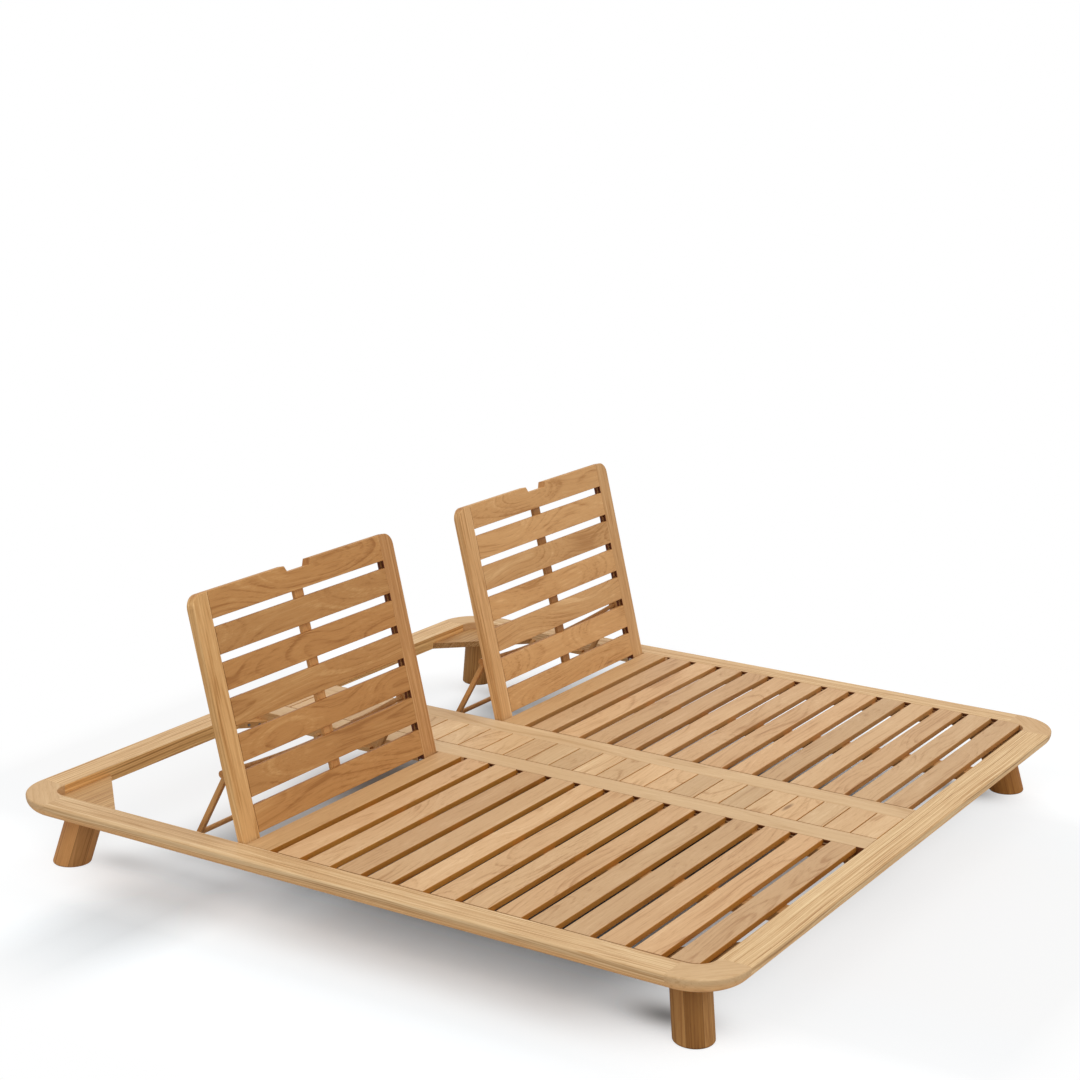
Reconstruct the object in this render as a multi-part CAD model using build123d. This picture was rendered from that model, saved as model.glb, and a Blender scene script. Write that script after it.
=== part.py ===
from build123d import *
import math
import os

os.makedirs("parts", exist_ok=True)

# Double chaise lounger, millimetres, +Z up.
# The origin is on the floor under the middle of the frame.
# +Y is the head end, -Y the foot end, left is -X and right is +X.

# Platform frame
overall_width = 2000
overall_length = 1950
platform_height = 182
rail_width = 75
rail_height = 39
rail_top_round = 5
rail_face_height = 1
rail_arris_round = 2
inner_corner_radius = 48
corner_arm = 55

# Middle strip between the two seats
strip_width = 300
strip_rail_width = 71
plank_count = 26
plank_gap = 2.6
plank_thickness = 19
plank_end_gap = 1.5
strip_ledge_width = 25

# Seat bays, from the foot rail to the cross rails, with the bay's share of the inner length
seat_bay_share = 0.621111
cross_rail_width = 69
seat_slat_count = 13
seat_slat_width = 64.2
seat_slat_thickness = 15
seat_slat_end_gap = 1.8
seat_bearer_width = 50
seat_ledge_width = 30

# Tongues on the seat slats and the groove that takes them
seat_tongue_length = 7
seat_tongue_thickness = 7
seat_tongue_drop = 4
seat_groove_clearance = 0.4

# Corner gussets and the blocks beside the strip
gusset_plug_diameter = 12
gusset_plug_length = 10
gusset_plug_shares = (0.3, 0.7)
strip_block_leg = 60
block_screw_shares = (0.33, 0.67)

# Legs
leg_diameter = 90
leg_foot_inset_x = 106
leg_foot_inset_y = 113
leg_splay = 31
leg_foot_round = 5
leg_bolt_diameter = 10
leg_bolt_depth = 50
leg_bolt_cover = 5

# Small screws
screw_head_diameter = 8
screw_head_height = 3
screw_shank_diameter = 4
screw_length = 34

# Backs, each hinged on two bolts just behind its cross rail
back_recline = 14.4
back_side_clearance = 3
back_thickness = 22
back_seat_clearance = 0.3
back_head_clearance = 11
back_heel_clearance = 2
back_heel_flat = 1
stile_width = 55
stile_top_round = 32
back_arris_round = 2
back_slat_count = 6
back_slat_width = 65
back_slat_bottom_gap = 16.5
back_slat_thickness = 12.7
back_slat_end_gap = 0.4
back_top_rail_width = 65
back_tongue_length = 9.5
back_tongue_thickness = 8
back_groove_depth = 10
back_groove_clearance = 0.2
batten_width = 33
notch_top_width = 100
notch_bottom_width = 82
notch_depth = 16.5
notch_round = 3

# Hinge bolts
hinge_bolt_diameter = 8
hinge_bolt_depth = 35
hinge_bolt_running_clearance = 0.06
hinge_bolt_head_diameter = 13
hinge_bolt_head_height = 4
hinge_bolt_head_round = 2
hinge_bolt_head_gap = 0.3

# Stays that prop the backs, with their heights and lengths as shares of the backs' length
stay_dowel_diameter = 19
stay_dowel_gap = 5
stay_dowel_share = 0.287776
stay_dowel_end_reach = 15
stay_rod_diameter = 12.6
stay_rod_bow = 26
stay_rack_side_gap = 1.5
stay_length_share = 0.322649
stay_lean = 62.0
stay_park_rise = 1.9
stay_arm_thickness = 13
stay_bar_diameter = 12.6
stay_bar_end_inset = 4
stay_tenon_diameter = 7
stay_tenon_depth = 5
saddle_width = 13
saddle_length = 30
saddle_wall = 4
saddle_round = 6
saddle_side_gap = 1
saddle_running_clearance = 0.06

# Notched racks that hold the foot of each stay, with the teeth's pitch as a share of its travel
rack_thickness = 14
rack_tooth_count = 6
rack_pitch_share = 0.166
rack_tooth_depth = 5
rack_bar_gap = 0.5
rack_heel = 30
rack_floor = 2.5
rack_end_wall = 14
rack_end_rise = 11
rack_end_round = 3
rack_gusset_gap = 0.5
rack_screw_shares = (0, 0.4, 1)
rack_screw_setback_share = 0.15

# Steps along the path of the stay's bar
stay_path_steps = 120

# Reach of a cut past the face that it opens
overrun = 5

# Places worked out from the sizes
inner_x = overall_width / 2 - rail_width
inner_y = overall_length / 2 - rail_width
strip_x = strip_width / 2
strip_inner_x = strip_x - strip_rail_width
rail_bottom = platform_height - rail_height
seat_slat_bottom = platform_height - seat_slat_thickness
rail_belly_round = rail_height - rail_top_round - rail_face_height
gusset_top = platform_height - back_thickness - back_seat_clearance
seat_bay_length = 2 * inner_y * seat_bay_share
cross_foot_y = seat_bay_length - inner_y
cross_head_y = cross_foot_y + cross_rail_width
seat_slat_gap = (seat_bay_length - seat_slat_count * seat_slat_width) / (seat_slat_count + 1)
seat_slat_pitch = seat_slat_width + seat_slat_gap
bay_centre_x = (strip_x + inner_x) / 2
back_heel = back_thickness / 2
back_heel_round = back_heel - back_heel_flat / 2
pivot_y = cross_head_y + back_heel + back_heel_clearance
pivot_z = platform_height - back_thickness / 2
back_inner_x = strip_x + back_side_clearance
back_outer_x = inner_x - back_side_clearance
stay_setback = back_thickness / 2 + stay_dowel_gap + stay_dowel_diameter / 2
raise_angle = 90 - back_recline
back_length = inner_y - pivot_y - back_head_clearance
back_slat_run = back_length - back_top_rail_width - back_slat_bottom_gap
back_slat_gap = back_slat_run / back_slat_count - back_slat_width
stay_dowel_height = back_length * stay_dowel_share
stay_length = back_length * stay_length_share
stay_dowel_end_inset = rack_thickness + stay_rack_side_gap
stay_arm_inset = stay_dowel_end_inset + stay_dowel_end_reach


def spanned(x_range, y_range, z_range):
    """A box between the given ends on each axis."""
    sizes = [high - low for low, high in (x_range, y_range, z_range)]
    middles = [(high + low) / 2 for low, high in (x_range, y_range, z_range)]
    return Pos(*middles) * Box(*sizes)


def eased(part, axis, radius):
    """The part with its edges along one axis rounded."""
    return fillet(part.edges().filter_by(axis), radius)


def rounded_at(sketch, point, radius):
    """The sketch with the corner nearest the point rounded."""
    return fillet(sketch.vertices().sort_by_distance(point)[0], radius)


def crosswise(shape):
    """The shape's mirror image on the left side."""
    return mirror(shape, about=Plane.YZ)


def endwise(shape):
    """The shape's mirror image at the foot end."""
    return mirror(shape, about=Plane.XZ)


def rod(centre_yz, x_range, diameter):
    """A round bar along X."""
    y, z = centre_yz
    middle = (x_range[0] + x_range[1]) / 2
    return Pos(middle, y, z) * Rot(0, 90, 0) * Cylinder(diameter / 2, x_range[1] - x_range[0])


# Path of the stay's bar

def stay_foot(back_angle, stay_angle):
    """Centre of the stay's bar on Y and Z, for the back's and the stay's slopes in degrees."""
    back = math.radians(back_angle)
    stay = math.radians(stay_angle)
    y = pivot_y + stay_dowel_height * math.cos(back) + stay_setback * math.sin(back)
    z = pivot_z + stay_dowel_height * math.sin(back) - stay_setback * math.cos(back)
    return y + stay_length * math.cos(stay), z + stay_length * math.sin(stay)


def stay_places():
    """Places of the bar's centre, from the back propped to the back flat."""
    places = []
    for step in range(stay_path_steps + 1):
        share = step / stay_path_steps
        stay_angle = share * (stay_lean + stay_park_rise) - stay_lean
        places.append(stay_foot((1 - share) * raise_angle, stay_angle))
    return places


stay_path = stay_places()
stay_travel = max(y for y, _ in stay_path) - stay_path[0][0]
rack_tooth_pitch = stay_travel * rack_pitch_share


# Perimeter rails

def rail_section():
    """Cross-section of a rail, from its inner face outwards and upwards."""
    section = Rectangle(rail_width, rail_height, align=(Align.MIN, Align.MIN))
    section = rounded_at(section, (rail_width, rail_height), rail_top_round)
    section = rounded_at(section, (rail_width, 0), rail_belly_round)
    return rounded_at(section, (0, rail_height), rail_arris_round)


def rail_along_y(y_range):
    """A straight stretch of the right side rail."""
    start = Plane(origin=(inner_x, y_range[1], rail_bottom), x_dir=(1, 0, 0), z_dir=(0, -1, 0))
    return extrude(start * rail_section(), amount=y_range[1] - y_range[0])


def rail_along_x(x_range):
    """A straight stretch of the head rail."""
    start = Plane(origin=(x_range[0], inner_y, rail_bottom), x_dir=(0, 1, 0), z_dir=(1, 0, 0))
    return extrude(start * rail_section(), amount=x_range[1] - x_range[0])


def corner_piece():
    """The head right corner: a quarter turn with a short arm on each side."""
    centre_x = inner_x - inner_corner_radius
    centre_y = inner_y - inner_corner_radius
    start = Plane(origin=(inner_x, centre_y, rail_bottom), x_dir=(1, 0, 0), z_dir=(0, -1, 0))
    axis = Axis((centre_x, centre_y, 0), (0, 0, 1))
    turn = revolve(start * rail_section(), axis=axis, revolution_arc=90)
    side_arm = rail_along_y((inner_y - corner_arm, centre_y))
    end_arm = rail_along_x((inner_x - corner_arm, centre_x))
    return turn + side_arm + end_arm


def side_rail():
    """The right side rail, grooved for the slats and drilled for the hinge bolt."""
    reach = inner_y - corner_arm
    rail = rail_along_y((-reach, reach))
    return rail - seat_groove() - hinge_bolts() - rack_screws()


def head_rail():
    """The head rail, plain on its inner face."""
    reach = inner_x - corner_arm
    return rail_along_x((-reach, reach))


def foot_rail():
    """The foot rail, plain on its inner face."""
    reach = inner_x - corner_arm
    return endwise(rail_along_x((-reach, reach)))


# Seat slats and what carries them

def bay_outline(grow):
    """Plan of the right seat bay, grown outwards by a distance."""
    width = inner_x - strip_x + 2 * grow
    length = seat_bay_length + grow
    outline = Rectangle(width, length, align=(Align.MIN, Align.MIN))
    outline = rounded_at(outline, (width, 0), inner_corner_radius + grow)
    return Pos(strip_x - grow, -inner_y - grow) * outline


def slat_start(index):
    """Foot-side edge of a seat slat."""
    return seat_slat_gap + index * seat_slat_pitch - inner_y


def slat_band(y_range):
    """Plan strip across the right bay between two places on Y."""
    middle = (y_range[0] + y_range[1]) / 2
    return Pos(bay_centre_x, middle) * Rectangle(overall_width, y_range[1] - y_range[0])


def seat_groove():
    """Groove in the inner faces of the rails for the slats' tongues."""
    start = slat_start(0) - seat_groove_clearance
    end = slat_start(seat_slat_count - 1) + seat_slat_width + seat_groove_clearance
    plan = bay_outline(seat_tongue_length + seat_groove_clearance) & slat_band((start, end))
    bottom = platform_height - seat_tongue_drop - seat_tongue_thickness - seat_groove_clearance
    return Pos(0, 0, bottom) * extrude(plan, amount=seat_tongue_thickness + 2 * seat_groove_clearance)


def seat_slat(index):
    """One slat with its eased edges and a tongue at each end."""
    band = slat_band((slat_start(index), slat_start(index) + seat_slat_width))
    plan = bay_outline(-seat_slat_end_gap) & band
    board = Pos(0, 0, seat_slat_bottom) * extrude(plan, amount=seat_slat_thickness)
    board = eased(board, Axis.X, rail_arris_round)
    tongue_bottom = platform_height - seat_tongue_drop - seat_tongue_thickness
    tongue_plan = bay_outline(seat_tongue_length) & band
    tongue = Pos(0, 0, tongue_bottom) * extrude(tongue_plan, amount=seat_tongue_thickness)
    reach = (inner_x - strip_x) / 2 - rail_width
    middle = spanned(
        (bay_centre_x - reach, bay_centre_x + reach),
        (-inner_y, cross_foot_y),
        (rail_bottom, platform_height),
    )
    return board + (tongue - middle)


def seat_slats():
    """The slats of the right seat."""
    return Compound(children=[seat_slat(index) for index in range(seat_slat_count)])


def seat_bearer():
    """Bearer under the middle of the right seat's slats."""
    return spanned(
        (bay_centre_x - seat_bearer_width / 2, bay_centre_x + seat_bearer_width / 2),
        (-inner_y, cross_foot_y),
        (rail_bottom, seat_slat_bottom),
    )


def seat_ledge_outer():
    """Ledge on the right side rail, from the gusset to the cross rail."""
    return spanned(
        (inner_x - seat_ledge_width, inner_x),
        (gusset_leg() - inner_y, cross_foot_y),
        (rail_bottom, seat_slat_bottom),
    )


def seat_ledge_inner():
    """Ledge on the right strip rail, from the foot block to the cross rail."""
    return spanned(
        (strip_x, strip_x + seat_ledge_width),
        (strip_block_leg - inner_y, cross_foot_y),
        (rail_bottom, seat_slat_bottom),
    )


def cross_rail():
    """Cross rail of the right bay, flush with the platform."""
    rail = spanned((strip_x, inner_x), (cross_foot_y, cross_head_y), (rail_bottom, platform_height))
    top_edges = rail.edges().filter_by(Axis.X).group_by(Axis.Z)[-1]
    return fillet(top_edges, rail_arris_round)


# Middle strip

def strip_rail():
    """The right rail of the strip, grooved for the slats and drilled for the hinge bolt."""
    rail = spanned((strip_inner_x, strip_x), (-inner_y, inner_y), (rail_bottom, platform_height))
    top_edges = rail.edges().filter_by(Axis.Y).group_by(Axis.Z)[-1]
    rail = fillet(top_edges, rail_arris_round)
    return rail - seat_groove() - hinge_bolts() - rack_screws()


def strip_planks():
    """The short planks across the strip."""
    pitch = 2 * inner_y / plank_count
    reach = strip_inner_x - plank_end_gap
    planks = []
    for index in range(plank_count):
        start = index * pitch + plank_gap / 2 - inner_y
        plank = spanned(
            (-reach, reach),
            (start, start + pitch - plank_gap),
            (platform_height - plank_thickness, platform_height),
        )
        planks.append(eased(plank, Axis.X, rail_arris_round))
    return Compound(children=planks)


def strip_ledges():
    """The two ledges that the planks lie on."""
    ledge = spanned(
        (strip_inner_x - strip_ledge_width, strip_inner_x),
        (-inner_y, inner_y),
        (rail_bottom, platform_height - plank_thickness),
    )
    return Compound(children=[ledge, crosswise(ledge)])


# Gussets, blocks, legs and their fasteners

def gusset_leg():
    """Length of a gusset along each rail, up to the racks' ends."""
    return inner_y - rack_end_y() - rack_gusset_gap


def triangle_plan(corner, leg_x, leg_y):
    """Plan of a triangular plate with its right angle at the corner."""
    x, y = corner
    return make_face(Polyline((x, y), (x + leg_x, y), (x, y + leg_y), close=True))


def gusset_plan():
    """Plan of the head right gusset, rounded to the inner corner."""
    plan = triangle_plan((inner_x, inner_y), -gusset_leg(), -gusset_leg())
    return rounded_at(plan, (inner_x, inner_y), inner_corner_radius)


def diagonal_peg(corner, leg_x, leg_y, share, diameter, length):
    """A round peg driven square into a triangular plate's diagonal face."""
    x = corner[0] + leg_x * (1 - share)
    y = corner[1] + leg_y * share
    middle_z = (rail_bottom + gusset_top) / 2
    inwards = (-leg_x, -leg_y, 0)
    seat = Plane(origin=(x, y, middle_z), z_dir=inwards)
    return seat * Cylinder(diameter / 2, length, align=(Align.CENTER, Align.CENTER, Align.MIN))


def gusset_plugs():
    """The plugs in the diagonal face of the head right gusset."""
    corner = (inner_x, inner_y)
    plugs = []
    for share in gusset_plug_shares:
        plug = diagonal_peg(
            corner, -gusset_leg(), -gusset_leg(), share, gusset_plug_diameter, gusset_plug_length
        )
        plugs.append(plug)
    return plugs


def leg_top_centre():
    """Centre of the head right leg where it meets the gusset."""
    return (
        overall_width / 2 - leg_foot_inset_x - leg_splay,
        overall_length / 2 - leg_foot_inset_y - leg_splay,
    )


def leg_bolt():
    """Headless bolt that joins the head right gusset and leg, out of sight in both."""
    x, y = leg_top_centre()
    top = gusset_top - leg_bolt_cover
    length = leg_bolt_depth + top - rail_bottom
    down = (Align.CENTER, Align.CENTER, Align.MAX)
    return Pos(x, y, top) * Cylinder(leg_bolt_diameter / 2, length, align=down)


def gusset():
    """The head right gusset with its plug and bolt holes."""
    plate = Pos(0, 0, rail_bottom) * extrude(gusset_plan(), amount=gusset_top - rail_bottom)
    for plug in gusset_plugs():
        plate = plate - plug
    return plate - leg_bolt()


def leg():
    """The head right leg: a splayed round post cut level at both ends."""
    top_x, top_y = leg_top_centre()
    foot = Vector(top_x + leg_splay, top_y + leg_splay, 0)
    top = Vector(top_x, top_y, rail_bottom)
    axis = top - foot
    post = Plane(origin=(foot + top) / 2, z_dir=axis) * Cylinder(leg_diameter / 2, 2 * rail_bottom)
    slab = Pos(*((foot + top) / 2)) * Box(4 * leg_diameter, 4 * leg_diameter, rail_bottom)
    post = post & slab
    post = fillet(post.edges().group_by(Axis.Z)[0], leg_foot_round)
    return post - leg_bolt()


def strip_block_screws():
    """The screw heads in the diagonal face of the head right strip block."""
    corner = (strip_x, inner_y)
    heads = []
    for share in block_screw_shares:
        head = diagonal_peg(
            corner, strip_block_leg, -strip_block_leg, share, screw_head_diameter, screw_head_height
        )
        heads.append(head)
    return heads


def strip_block():
    """The head right block between the strip rail and the head rail."""
    plan = triangle_plan((strip_x, inner_y), strip_block_leg, -strip_block_leg)
    block = Pos(0, 0, rail_bottom) * extrude(plan, amount=gusset_top - rail_bottom)
    for peg in strip_block_screws():
        block = block - peg
    return block


def on_four_sides(shapes):
    """The shapes and their mirror images on the left and at the foot."""
    copies = []
    for shape in shapes:
        copies += [shape, crosswise(shape), endwise(shape), endwise(crosswise(shape))]
    return copies


# Hinge bolts

def hinge_bolt(rail_face_x, outwards):
    """A bolt through a stile into the rail; outwards is +1 towards the side rail."""
    stile_face_x = rail_face_x - outwards * (back_side_clearance + stile_width)
    seat_x = stile_face_x - outwards * hinge_bolt_head_gap
    tip_x = rail_face_x + outwards * hinge_bolt_depth
    shank = rod((pivot_y, pivot_z), sorted((seat_x, tip_x)), hinge_bolt_diameter)
    end_x = seat_x - outwards * hinge_bolt_head_height
    head = rod((pivot_y, pivot_z), sorted((end_x, seat_x)), hinge_bolt_head_diameter)
    rim = head.edges().sort_by_distance((end_x, pivot_y, pivot_z))
    rim = [edge for edge in rim if abs(edge.center().X - end_x) < hinge_bolt_head_round]
    head = fillet(rim, hinge_bolt_head_round)
    return shank + head


def hinge_bolts():
    """Both bolts of the right back."""
    return Compound(children=[hinge_bolt(inner_x, 1), hinge_bolt(strip_x, -1)])


# Racks

def rack_floor_height():
    """Height of the parking notch's floor, just under the parked bar."""
    low = min(z for _, z in stay_path)
    return low - stay_bar_diameter / 2 - rack_bar_gap


def tip_height(y):
    """Height that a tooth's tip may reach under the bar's path."""
    radius = stay_bar_diameter / 2
    near = [place for place in stay_path if abs(place[0] - y) < radius]
    return min(z - math.sqrt(radius ** 2 - (at - y) ** 2) for at, z in near) - rack_bar_gap


def tooth_wall(index):
    """Place on Y of a tooth's upright face, which faces the foot end."""
    return stay_path[0][0] + stay_bar_diameter / 2 + rack_bar_gap + index * rack_tooth_pitch


def rack_end_y():
    """Head end of the racks."""
    furthest = max(y for y, _ in stay_path)
    return furthest + stay_bar_diameter / 2 + rack_bar_gap + rack_end_wall


def rack_outline():
    """Side view of a rack: saw teeth that fall to a parking notch with an upright end."""
    floor = rack_floor_height()
    bottom = min(rail_bottom, floor - rack_floor)
    start_y = tooth_wall(0) - rack_heel
    points = [(start_y, bottom), (start_y, tip_height(tooth_wall(0)) - rack_tooth_depth)]
    for index in range(rack_tooth_count):
        wall_y = tooth_wall(index)
        tip_z = tip_height(wall_y)
        points.append((wall_y, tip_z - rack_tooth_depth))
        points.append((wall_y, tip_z))
    last_y = tooth_wall(rack_tooth_count - 1)
    notch_end_y = rack_end_y() - rack_end_wall
    slope_end_y = (last_y + notch_end_y) / 2
    points.append((slope_end_y, floor))
    points.append((notch_end_y, floor))
    points.append((notch_end_y, floor + rack_end_rise))
    points.append((rack_end_y(), floor + rack_end_rise))
    points.append((rack_end_y(), bottom))
    return points


def rack_plate(x_range):
    """A rack between two places on X."""
    corners = [(x_range[0], y, z) for y, z in rack_outline()]
    side = make_face(Polyline(*corners, close=True))
    plate = extrude(side, amount=x_range[1] - x_range[0], dir=(1, 0, 0))
    top_end = plate.edges().filter_by(Axis.X).sort_by(Axis.Y)[-2:].sort_by(Axis.Z)[-1]
    return fillet(top_end, rack_end_round)


def rack_screw_set(face_x, outwards):
    """Screws through the thick of a rack's teeth into the rail behind it."""
    screws = []
    for share in rack_screw_shares:
        wall_y = tooth_wall(round(share * (rack_tooth_count - 1)))
        y = wall_y + rack_screw_setback_share * rack_tooth_pitch
        z = (rail_bottom + tip_height(wall_y)) / 2
        x = face_x - outwards * rack_thickness
        shank = Cylinder(
            screw_shank_diameter / 2, screw_length, align=(Align.CENTER, Align.CENTER, Align.MIN)
        )
        screws.append(Plane(origin=(x, y, z), z_dir=(outwards, 0, 0)) * shank)
    return screws


def rack_screws():
    """All the screws of the right bay's two racks."""
    return Compound(children=rack_screw_set(inner_x, 1) + rack_screw_set(strip_x, -1))


def rack_outer():
    """The rack on the right side rail."""
    return rack_plate((inner_x - rack_thickness, inner_x)) - rack_screws()


def rack_inner():
    """The rack on the right strip rail."""
    return rack_plate((strip_x, strip_x + rack_thickness)) - rack_screws()


# Back panel, built lying flat with its pivot at the origin and its top towards +Y

def raised_back(shape):
    """The flat shape swung up to its propped place."""
    return Pos(0, pivot_y, pivot_z) * Rot(raise_angle, 0, 0) * shape


def slat_span(index):
    """Ends on Y of a back slat, counted up from the bottom."""
    top = back_length - back_top_rail_width - back_slat_gap
    start = top - back_slat_width - (back_slat_count - 1 - index) * (back_slat_width + back_slat_gap)
    return start, start + back_slat_width


def groove_span():
    """Ends on Y of the stiles' grooves."""
    return slat_span(0)[0] - back_groove_clearance, back_length - back_top_rail_width


def stile(x_range, face_x, outwards):
    """A stile, grooved on its inner face; outwards is +1 towards the side rail."""
    width = x_range[1] - x_range[0]
    plan = Rectangle(width, back_length + back_heel, align=(Align.MIN, Align.MIN))
    outer_corner = width if outwards > 0 else 0
    plan = rounded_at(plan, (outer_corner, back_length + back_heel), stile_top_round)
    post = Pos(x_range[0], -back_heel, -back_thickness / 2) * extrude(plan, amount=back_thickness)
    heel = [
        edge for edge in post.edges().filter_by(Axis.X) if edge.center().Y < back_heel_round - back_heel
    ]
    post = fillet(heel, back_heel_round)
    rims = [
        edge for edge in post.edges().filter_by(Axis.Y)
        if abs(abs(edge.center().Z) - back_thickness / 2) < back_arris_round
    ]
    post = fillet(rims, back_arris_round)
    front = back_thickness / 2 - back_slat_thickness + back_tongue_thickness + back_groove_clearance
    rear = back_thickness / 2 - back_slat_thickness - back_groove_clearance
    near_x = face_x + outwards * back_groove_depth
    far_x = face_x - outwards * overrun
    groove = spanned(sorted((near_x, far_x)), groove_span(), (rear, front))
    hole = rod((0, 0), (x_range[0] - overrun, x_range[1] + overrun),
               hinge_bolt_diameter + 2 * hinge_bolt_running_clearance)
    return raised_back(post - groove - hole)


def stile_outer():
    """The right back's stile beside the side rail."""
    face_x = back_outer_x - stile_width
    return stile((face_x, back_outer_x), face_x, 1)


def stile_inner():
    """The right back's stile beside the strip."""
    face_x = back_inner_x + stile_width
    return stile((back_inner_x, face_x), face_x, -1)


def back_top_rail():
    """The right back's top rail with its slant-sided finger notch."""
    half = back_thickness / 2
    rail = spanned(
        (back_inner_x + stile_width, back_outer_x - stile_width),
        (back_length - back_top_rail_width, back_length),
        (-half, half),
    )
    rail = eased(rail, Axis.X, back_arris_round)
    spread = (notch_top_width - notch_bottom_width) / 2 / notch_depth * overrun
    notch = make_face(Polyline(
        (bay_centre_x - notch_bottom_width / 2, back_length - notch_depth),
        (bay_centre_x + notch_bottom_width / 2, back_length - notch_depth),
        (bay_centre_x + notch_top_width / 2 + spread, back_length + overrun),
        (bay_centre_x - notch_top_width / 2 - spread, back_length + overrun),
        close=True,
    ))
    notch = fillet(notch.vertices().group_by(Axis.Y)[0], notch_round)
    cut = Pos(0, 0, -back_thickness) * extrude(notch, amount=2 * back_thickness)
    return raised_back(rail - cut)


def back_slats():
    """The right back's slats, flush with its front, with a tongue at each end."""
    half = back_thickness / 2
    face_inner = back_inner_x + stile_width
    face_outer = back_outer_x - stile_width
    slats = []
    for index in range(back_slat_count):
        board = spanned(
            (face_inner + back_slat_end_gap, face_outer - back_slat_end_gap),
            slat_span(index),
            (half - back_slat_thickness, half),
        )
        board = eased(board, Axis.X, back_arris_round)
        tongue = spanned(
            (face_inner - back_tongue_length, face_outer + back_tongue_length),
            slat_span(index),
            (half - back_slat_thickness, half - back_slat_thickness + back_tongue_thickness),
        )
        middle = spanned(
            (face_inner + stile_width, face_outer - stile_width),
            (-back_heel, back_length),
            (-half, half),
        )
        slats.append(raised_back(board + (tongue - middle)))
    return Compound(children=slats)


def back_batten():
    """The batten up the middle of the right back, behind its slats."""
    half = back_thickness / 2
    batten = spanned(
        (bay_centre_x - batten_width / 2, bay_centre_x + batten_width / 2),
        (slat_span(0)[0], back_length - back_top_rail_width),
        (-half, half - back_slat_thickness),
    )
    return raised_back(batten)


# Stay, carried behind the back

def dowel_place():
    """Centre of the dowel on Y and Z, with the back flat and its pivot at the origin."""
    return stay_dowel_height, -stay_setback


def arm_spans():
    """Ends on X of the right stay's outer and inner arms."""
    outer_high = inner_x - stay_arm_inset
    inner_low = strip_x + stay_arm_inset
    return (outer_high - stay_arm_thickness, outer_high), (inner_low, inner_low + stay_arm_thickness)


def saddles():
    """The two blocks on the right back that the stay's dowel turns in."""
    outer_arm, inner_arm = arm_spans()
    outer = (outer_arm[0] - saddle_side_gap - saddle_width, outer_arm[0] - saddle_side_gap)
    inner = (inner_arm[1] + saddle_side_gap, inner_arm[1] + saddle_side_gap + saddle_width)
    y, z = dowel_place()
    depth = stay_setback + stay_dowel_diameter / 2 + saddle_wall
    blocks = []
    for x_range in (outer, inner):
        block = spanned(
            x_range, (y - saddle_length / 2, y + saddle_length / 2), (-depth, -back_thickness / 2)
        )
        block = fillet(block.edges().filter_by(Axis.X).group_by(Axis.Z)[0], saddle_round)
        hole = rod((y, z), (x_range[0] - overrun, x_range[1] + overrun),
                   stay_dowel_diameter + 2 * saddle_running_clearance)
        blocks.append(raised_back(block - hole))
    return Compound(children=blocks)


def propped_stay(shape):
    """A shape built along +Y from the dowel's axis, swung to its propped place."""
    y, z = dowel_place()
    return raised_back(Pos(0, y, z) * Rot(-stay_lean - raise_angle, 0, 0) * shape)


def stay_tenons():
    """Round tenons of both arms into the dowel and into the bar."""
    tenons = []
    for low, high in arm_spans():
        start = stay_dowel_diameter / 2 - stay_tenon_depth
        end = stay_length - stay_bar_diameter / 2 + stay_tenon_depth
        seat = Plane(origin=((low + high) / 2, start, 0), z_dir=(0, 1, 0))
        tenons.append(seat * Cylinder(
            stay_tenon_diameter / 2, end - start, align=(Align.CENTER, Align.CENTER, Align.MIN)
        ))
    return tenons


def trunnion_spans():
    """Ends on X of the dowel's thick ends, from past the arms to past the saddles."""
    outer_arm, inner_arm = arm_spans()
    reach = 2 * saddle_side_gap + saddle_width
    outer = (outer_arm[0] - reach, inner_x - stay_dowel_end_inset)
    inner = (strip_x + stay_dowel_end_inset, inner_arm[1] + reach)
    return outer, inner


def bowed_rod():
    """The thin rod between the dowel's thick ends, bowed towards the bar."""
    outer, inner = trunnion_spans()
    inset = saddle_side_gap + saddle_width / 2
    start = (inner[1] - inset, 0, 0)
    end = (outer[0] + inset, 0, 0)
    line = ThreePointArc(start, (bay_centre_x, stay_rod_bow, 0), end)
    section = Plane(origin=start, z_dir=line % 0) * Circle(stay_rod_diameter / 2)
    return sweep(section, path=line)


def stay_dowel():
    """The dowel at the head of the right stay: thick ends joined by the bowed rod."""
    dowel = bowed_rod()
    for x_range in trunnion_spans():
        dowel = dowel + rod((0, 0), x_range, stay_dowel_diameter)
    for tenon in stay_tenons():
        dowel = dowel - tenon
    return propped_stay(dowel)


def stay_bar():
    """The round bar at the foot of the right stay."""
    ends = (strip_x + stay_bar_end_inset, inner_x - stay_bar_end_inset)
    bar = rod((stay_length, 0), ends, stay_bar_diameter)
    for tenon in stay_tenons():
        bar = bar - tenon
    return propped_stay(bar)


def stay_arm(index):
    """One square arm, hollowed at its ends to fit the dowel and the bar."""
    x_range = arm_spans()[index]
    half = stay_arm_thickness / 2
    arm = spanned(x_range, (0, stay_length), (-half, half))
    arm = eased(arm, Axis.Y, rail_arris_round)
    ends = (x_range[0] - overrun, x_range[1] + overrun)
    arm = arm - rod((0, 0), ends, stay_dowel_diameter) - rod((stay_length, 0), ends, stay_bar_diameter)
    arm = arm.solids().sort_by(SortBy.VOLUME)[-1]
    return propped_stay(arm + stay_tenons()[index])


# Every node by name

def mirrored_pair(nodes, name, shape):
    """Add a right node and its left mirror image."""
    nodes[name + "_right"] = shape
    nodes[name + "_left"] = crosswise(shape)


def four_corners(nodes, name, head_shape, foot_shape):
    """Add the four corner nodes from the head right and foot right ones."""
    mirrored_pair(nodes, name + "_head", head_shape)
    mirrored_pair(nodes, name + "_foot", foot_shape)


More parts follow.
